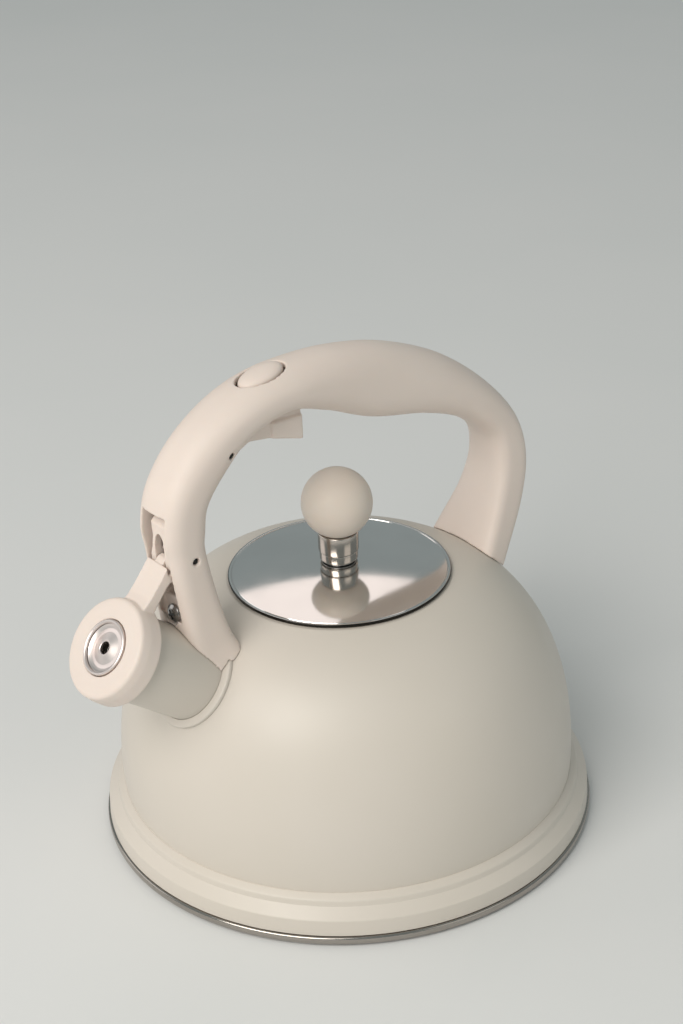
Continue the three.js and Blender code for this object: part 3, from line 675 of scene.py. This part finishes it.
def handle():
    outer = limb("handle_moulding", STATIONS)
    channel = limb("channel", STATIONS[3:10], 3, SLOT_HALF, 6, 48, 60)
    slot = rounded([(-110, 176.8, 0), (-88, 176.6, 0.6), (-82, 182, 2), (-72.5, 181, 2), (-76.6, 165, 6),
                    (-76.4, 152, 6), (-73.4, 139, 2), (-85, 136, 1), (-85, 125.8, 0.5), (-92, 131.4, 1),
                    (-110, 131.4, 0)], 1)
    underside = rounded([(-64, 176), (-67.5, 190), (-60, 203), (-46, 207), (-14.4, 207), (-14.4, 180)], 0.8)
    front = [(-130, 128.6), (-93.2, 128.6), (-89.8, 124), (-75.2, 101), (-75, 60), (-130, 60)]
    collar_room = turned_room(COLLAR_R + 0.2, -20, 20, ON_SPOUT)
    near_dome = dome_solid(2.1)
    combine(collar_room, [near_dome], "INTERSECT")
    cutters = [dome_solid(0.2), turned_room(TUBE_R + 0.2, -20, 60, ON_SPOUT), collar_room,
               slab("front", front, 30), slab("slot", slot, SLOT_HALF), channel,
               slab("underside", underside, UNDERSIDE_HALF),
               oval([(0, -8), (1, -8), (1, 12), (0, 12)], BUTTON_GAP),
               slab("front_pocket", FRONT_POCKET, POCKET_HALF), slab("rear_pocket", REAR_POCKET, POCKET_HALF)]
    cutters += [cross_rod("hole", at, HOLE_R, 20) for at in (LEVER_PIVOT, CAP_PIVOT)]
    for spec in SCREWS.values():
        place = screw_place(spec)
        cutters.append(turned_room(SCREW_HEAD_R + 0.6, 0, 14, place))
        cutters.append(turned_room(SCREW_R + 0.3, -spec["grip"] - 0.3, 1, place))
    combine(outer, cutters)
    soften(outer, 0.5, 6, 0.3)
    finish_piece(outer, NYLON, "kettle", "nylon", "handle")


def screws():
    """Pan-head screws, with their cross recess turned as a driver left it."""
    for name, spec in SCREWS.items():
        tip = -spec["grip"]
        head = rounded([(0, tip, 0), (0.6, tip, 0), (SCREW_R, tip + 1.5), (SCREW_R, 0.3),
                        (SCREW_HEAD_R, 0.3, 0.2), (SCREW_HEAD_R, 1.2, 0.8), (2.6, 2.4, 1.2),
                        (0, 2.6, 0)], 0.2)
        screw = lathe(name + "_head", head, 64, screw_place(spec))
        turn = screw_place(spec) @ Matrix.Rotation(math.radians(28), 4, "Z")
        for half_x, half_y in ((2.2, 0.55), (0.55, 2.2)):
            recess = slab("recess", [(-half_x, 1.3), (half_x, 1.3), (half_x, 4), (-half_x, 4)], half_y)
            recess.data.transform(Matrix.Scale(MM, 4) @ turn @ Matrix.Scale(1 / MM, 4))
            combine(screw, [recess])
        screw.data.set_sharp_from_angle(angle=SHARP)
        finish_piece(screw, SCREW_STEEL, "kettle", "screw_steel", name)


# ---------------------------------------------------------------- button, lever and link
def thumb_button():
    outline = [(0, -2.6), (0.97, -2.6), (0.985, -2.4), (0.985, 2.6), (0.97, 3.2), (0.925, 3.8), (0.85, 4.3),
               (0.74, 4.75), (0.6, 5.1), (0.42, 5.35), (0.22, 5.48), (0, 5.5)]
    button = oval(outline)
    button.name = "thumb_button_pad"
    finish_piece(button, NYLON, "button", "nylon", "thumb_button")


def trigger_lever():
    side = rounded([(-71.5, 193.5), (-63, 201.2), (-45, 205), (-38, 208.2), (-37.2, 212), (-35.5, 212.9),
                    (-33.8, 212), (-33, 208.2), (-20, 205, 1.2), (-20, 187.8, 1.2),
                    (-35.6, 192.8, 1.5), (-46.5, 194.6, 3), (-54.5, 190.8, 3), (-61, 191.4, 2),
                    (-66, 191.2)], 0.8)
    nose = rounded([(-66, 191.2), (-76.2, 180.9), (-78.5, 180.2), (-80.8, 181.2), (-81.4, 183.4),
                    (-80.3, 185.4), (-71.5, 193.5), (-62, 196)], 0.8)
    lever = slab("trigger_lever_moulding", side, LEVER_HALF, bevel=0.8)
    pad = rounded([(-36, 192.9), (-36, 200.4), (-20, 199.4), (-20, 187.8)], 1)
    combine(lever, [slab("nose", nose, NOSE_HALF, bevel=0.3), slab("pad", pad, PAD_HALF, bevel=1.4)], "UNION")
    spring_room = cross_rod("hole", LEVER_PIVOT, 4.1, 2.6, 0.1)
    combine(lever, [spring_room, cross_rod("hole", LEVER_PIVOT, 1.7, THROUGH),
                    cross_rod("hole", LINK_TOP, 1.15, THROUGH)])
    soften(lever, 0.36, 4, 0.5)
    finish_piece(lever, NYLON, "lever", "nylon", "trigger_lever")


def pull_link():
    side = rounded([(-90.2, 152.6), (-88.6, 151.9), (-86.2, 152.2), (-85.2, 154.3), (-86.6, 158),
                    (-87.2, 168), (-84.2, 173), (-77.4, 180.4), (-75.9, 182.4), (-76.4, 184.4),
                    (-78.6, 185.8), (-80.6, 184.8), (-84.9, 177.6), (-85.9, 174.2), (-89.9, 170.8),
                    (-90.4, 160)], 0.8)
    half_front = [(6.3, 150), (6.4, 156), (4.9, 160), (4.4, 165), (5.2, 170), (5.8, 176), (5.4, 190)]
    half_window = [(3.2, 148), (3.3, 160), (2.6, 164.4), (1.2, 166.3), (0, 166.6)]
    link = slab("pull_link_moulding", side, 10)
    outline = rounded(both_sides(half_front), 3)
    combine(link, [slab("front", outline, LINK_REACH, LINK_X, across="X")], "INTERSECT")
    nose_room = [(-84.6, 190), (-84.6, 177.6), (-82, 174.6), (-70, 174.6), (-70, 190)]
    window = rounded(both_sides(half_window), 0.8)
    combine(link, [slab("window", window, LINK_REACH, LINK_X, across="X"),
                   slab("nose_room", nose_room, NOSE_ROOM_HALF),
                   cross_rod("hole", LINK_TOP, 1.25, THROUGH), cross_rod("hole", LINK_LOW, 1.4, THROUGH)])
    soften(link, 0.25, 4, 0.5)
    finish_piece(link, NYLON, "link", "nylon", "pull_link")


def both_sides(half):
    """A (y, z) outline from its half with y above 0."""
    return [*half, *((-y, z) for y, z in reversed(half))]


def pins():
    """The two long pins are painted near black as shade, so their holes look dark and deep; the two short
    ones are plain.
    """
    for node, at, material, body in (("lever_pin", LEVER_PIVOT, PAINTED_PIN_SHADE, "kettle"),
                                     ("cap_pin", CAP_PIVOT, PAINTED_PIN_SHADE, "kettle"),
                                     ("link_pin_upper", LINK_TOP, DRAWN, "lever"),
                                     ("link_pin_lower", LINK_LOW, DRAWN, "spout_cap")):
        low, high = span(node)
        pin = cross_rod(node + "_rod", at, (high.x - low.x) / 2, high.y)
        finish_piece(pin, material, body, "brushed_steel", node)


def spring(name, node, at, r, turns, half, start, legs, wire):
    """A torsion spring about Y with a straight leg at each end."""
    points = []
    steps = int(turns * 28)
    for i in range(steps + 1):
        share = i / steps
        angle = start + share * turns * TURN
        points.append(Vector((at[0] + r * math.cos(angle), (share * 2 - 1) * half,
                              at[1] + r * math.sin(angle))))
    first = Vector((math.sin(start), 0, -math.cos(start)))
    final = start + turns * TURN
    last = Vector((-math.sin(final), 0, math.cos(final)))
    points = [points[0] + first * legs[0], *points, points[-1] + last * legs[1]]
    curve = bpy.data.curves.new(name, "CURVE")
    curve.dimensions = "3D"
    curve.bevel_depth = wire * MM
    curve.bevel_resolution = 4
    curve.use_fill_caps = True
    line = curve.splines.new("POLY")
    line.points.add(len(points) - 1)
    for place, point in zip(line.points, points):
        place.co = (*(point * MM), 1)
    obj = bpy.data.objects.new(name, curve)
    bpy.context.scene.collection.objects.link(obj)
    finish_piece(obj, SPRING, "kettle", "spring_steel", node)


# ---------------------------------------------------------------- lid and knob
def lid_parts():
    sheet = 1
    crown = LID_TOP - LID_Z - sheet
    rim_z = LID_Z + 1.5

    def top(r):
        return LID_Z + sheet + crown * (1 - (r / LID_R) ** 2)

    radii = [46.6 * (1 - (i / 14)) for i in range(14)]
    upper = [(r, top(r), 0) for r in radii]
    lower = [(r, top(r) - sheet, 0) for r in reversed(radii)]
    rim = [(46.8, LID_Z, 0.2), (LID_R - 0.1, LID_Z, 0.6), (LID_R, rim_z, 0.8), (47.3, rim_z, 0.4),
           (46.9, LID_Z + 1.0, 0.25)]
    outline = rounded([(KNOB_BORE_R, top(0) - sheet, 0), *lower, *rim, *upper, (KNOB_BORE_R, top(0), 0)], 0,
                      steps=5)
    finish_piece(lathe("lid_plate", outline, FINE), LID_STEEL, "lid", "polished_steel", "lid_cover")
    under = LID_Z - 0.15
    inner_r = SKIRT_R - 1
    skirt = rounded([(KNOB_BORE_R, under - 1.2, 0), (inner_r, under - 1.2, 0.5),
                     (inner_r, SKIRT_LOW + 0.3, 0.3), (SKIRT_R, SKIRT_LOW, 0.4), (SKIRT_R, under, 0.5),
                     (KNOB_BORE_R, under, 0)], 0)
    finish_piece(lathe("lid_ring", skirt, FINE), TURNED, "lid", "brushed_steel", "lid_skirt")


def knob_parts():
    foot = span("knob_washer")[0].z
    split = span("knob_ferrule_lower")[1].z
    ball_foot = span("knob_ferrule_upper")[1].z + 0.3
    low_r = span("knob_ferrule_lower")[1].x
    high_r = span("knob_ferrule_upper")[1].x
    bore = KNOB_BORE_R
    washer_r, washer_top = 7.4, foot + 0.5
    washer = rounded([(bore, foot), (washer_r, foot), (washer_r, washer_top), (bore, washer_top)], 0.2)
    finish_piece(lathe("knob_washer_disc", washer), DRAWN, "lid", "brushed_steel", "knob_washer")
    low = foot + 0.6
    lower = rounded([(bore, low), (low_r - 0.3, low, 0.3), (low_r, foot + 1.2, 0.5), (low_r, split, 0.35),
                     (bore, split)], 0.1)
    finish_piece(lathe("ferrule_lower", lower), FERRULE, "lid", "brushed_steel", "knob_ferrule_lower")
    upper = rounded([(bore, split + 0.2), (high_r, split + 0.2, 0.5), (high_r, ball_foot - 0.3, 0.6),
                     (bore, ball_foot - 0.3)], 0.1)
    finish_piece(lathe("ferrule_upper", upper), FERRULE, "lid", "brushed_steel", "knob_ferrule_upper")
    flat = math.asin((ball_foot - BALL_Z) / BALL_R)
    arc = [flat + (math.pi / 2 - flat) * i / 48 for i in range(49)]
    ball = [(BALL_R * math.cos(a), BALL_Z + BALL_R * math.sin(a), 0) for a in arc[:-1]]
    bore_end = BALL_Z - 1.7
    outline = rounded([(bore, bore_end, 0), (bore, ball_foot, 0.2), (*ball[0][:2], 0.5), *ball[1:],
                       (0, BALL_TOP, 0), (0, bore_end, 0)], 0)
    finish_piece(lathe("knob_sphere", outline, FINE), KNOB_NYLON, "lid", "knob_nylon", "knob_ball")
    head_low, tip = (corner.z for corner in span("knob_screw"))
    screw = rounded([(0, head_low, 0), (3.4, head_low, 0.8), (4, head_low + 1, 0.4), (4, head_low + 2, 0.2),
                     (2, head_low + 2, 0.2), (2, tip - 0.5, 0.3), (0, tip, 0)], 0)
    finish_piece(lathe("knob_bolt", screw), DRAWN, "lid", "brushed_steel", "knob_screw")


# ---------------------------------------------------------------- the kettle
body_shell()
base_parts()
spout_parts()
spout_cap()
whistle_parts()
handle()
screws()
thumb_button()
trigger_lever()
pull_link()
pins()
spring("cap_spring_wire", "cap_spring", CAP_PIVOT, r=2.5, turns=4.25, half=3.6, start=2.2, legs=(4, 3),
       wire=0.4)
spring("lever_spring_wire", "lever_spring", LEVER_PIVOT, r=2.8, turns=2.25, half=1.6, start=0.6, legs=(1, 1),
       wire=0.35)
lid_parts()
knob_parts()

# The brackets show the CAD's own shapes.
for node in ("front_bracket", "rear_bracket"):
    bracket = frame["nodes"][node]
    bracket.data.materials.clear()
    bracket.data.materials.append(DRAWN)


# ---------------------------------------------------------------- studio
def studio():
    bm = bmesh.new()
    bmesh.ops.create_grid(bm, x_segments=8, y_segments=8, size=20000)
    floor = to_object("floor", bm)
    floor.data.materials.append(pale_floor())
    world = bpy.data.worlds.new("studio")
    bpy.context.scene.world = world
    world.use_nodes = True
    sky = world.node_tree.nodes["Background"]
    sky.inputs["Color"].default_value = (0.52, 0.59, 0.59, 1)
    sky.inputs["Strength"].default_value = 0.55
    target = (0, 0, 0.1)
    area_light("key", (-1.55, -0.45, 1.45), target, (1.6, 1.3), 35, (1.0, 0.945, 0.89))
    area_light("fill", (0.4, -1.7, 0.9), target, (1.2, 1.0), 3, (1.0, 0.92, 0.83))
    area_light("side", (-1.3, 1.6, 0.75), target, (1.4, 1.1), 5, (1.0, 0.91, 0.88))
    area_light("back", (0.98, 1.27, 1.85), target, (1.5, 0.9), 4, (1.0, 0.84, 0.78))


def area_light(name, at, target, size, power, colour):
    lamp = bpy.data.lights.new(name, "AREA")
    lamp.shape = "RECTANGLE"
    lamp.size, lamp.size_y = size
    lamp.energy = power
    lamp.color = colour
    obj = bpy.data.objects.new(name, lamp)
    obj.location = at
    obj.rotation_euler = (Vector(target) - Vector(at)).to_track_quat("-Z", "Y").to_euler()
    bpy.context.scene.collection.objects.link(obj)


def camera():
    """The camera looks down on the kettle from the spout's side, rolled slightly."""
    distance, height = 0.7572, 0.5387
    turn, pitch, yaw, roll = (math.radians(a) for a in (37.7, 27.49, 0.14, -2.3))
    spin = Matrix.Rotation(-turn, 3, "Z")
    ahead = Vector((math.sin(yaw) * math.cos(pitch), math.cos(yaw) * math.cos(pitch), -math.sin(pitch)))
    level = Vector((math.cos(yaw), -math.sin(yaw), 0))
    upright = level.cross(ahead)
    right = spin @ (math.cos(roll) * level + math.sin(roll) * upright)
    up = spin @ (math.cos(roll) * upright - math.sin(roll) * level)
    back = -(spin @ ahead)
    place = spin @ Vector((0, -distance, height))
    lens = bpy.data.cameras.new("camera")
    lens.lens = 70.3
    lens.sensor_width = 36
    lens.clip_start = 0.01
    obj = bpy.data.objects.new("camera", lens)
    turned = Matrix((right, up, back)).transposed().to_4x4()
    obj.matrix_world = Matrix.Translation(place) @ turned
    bpy.context.scene.collection.objects.link(obj)
    bpy.context.scene.camera = obj


studio()
camera()
bpy.context.scene.view_settings.view_transform = "Standard"
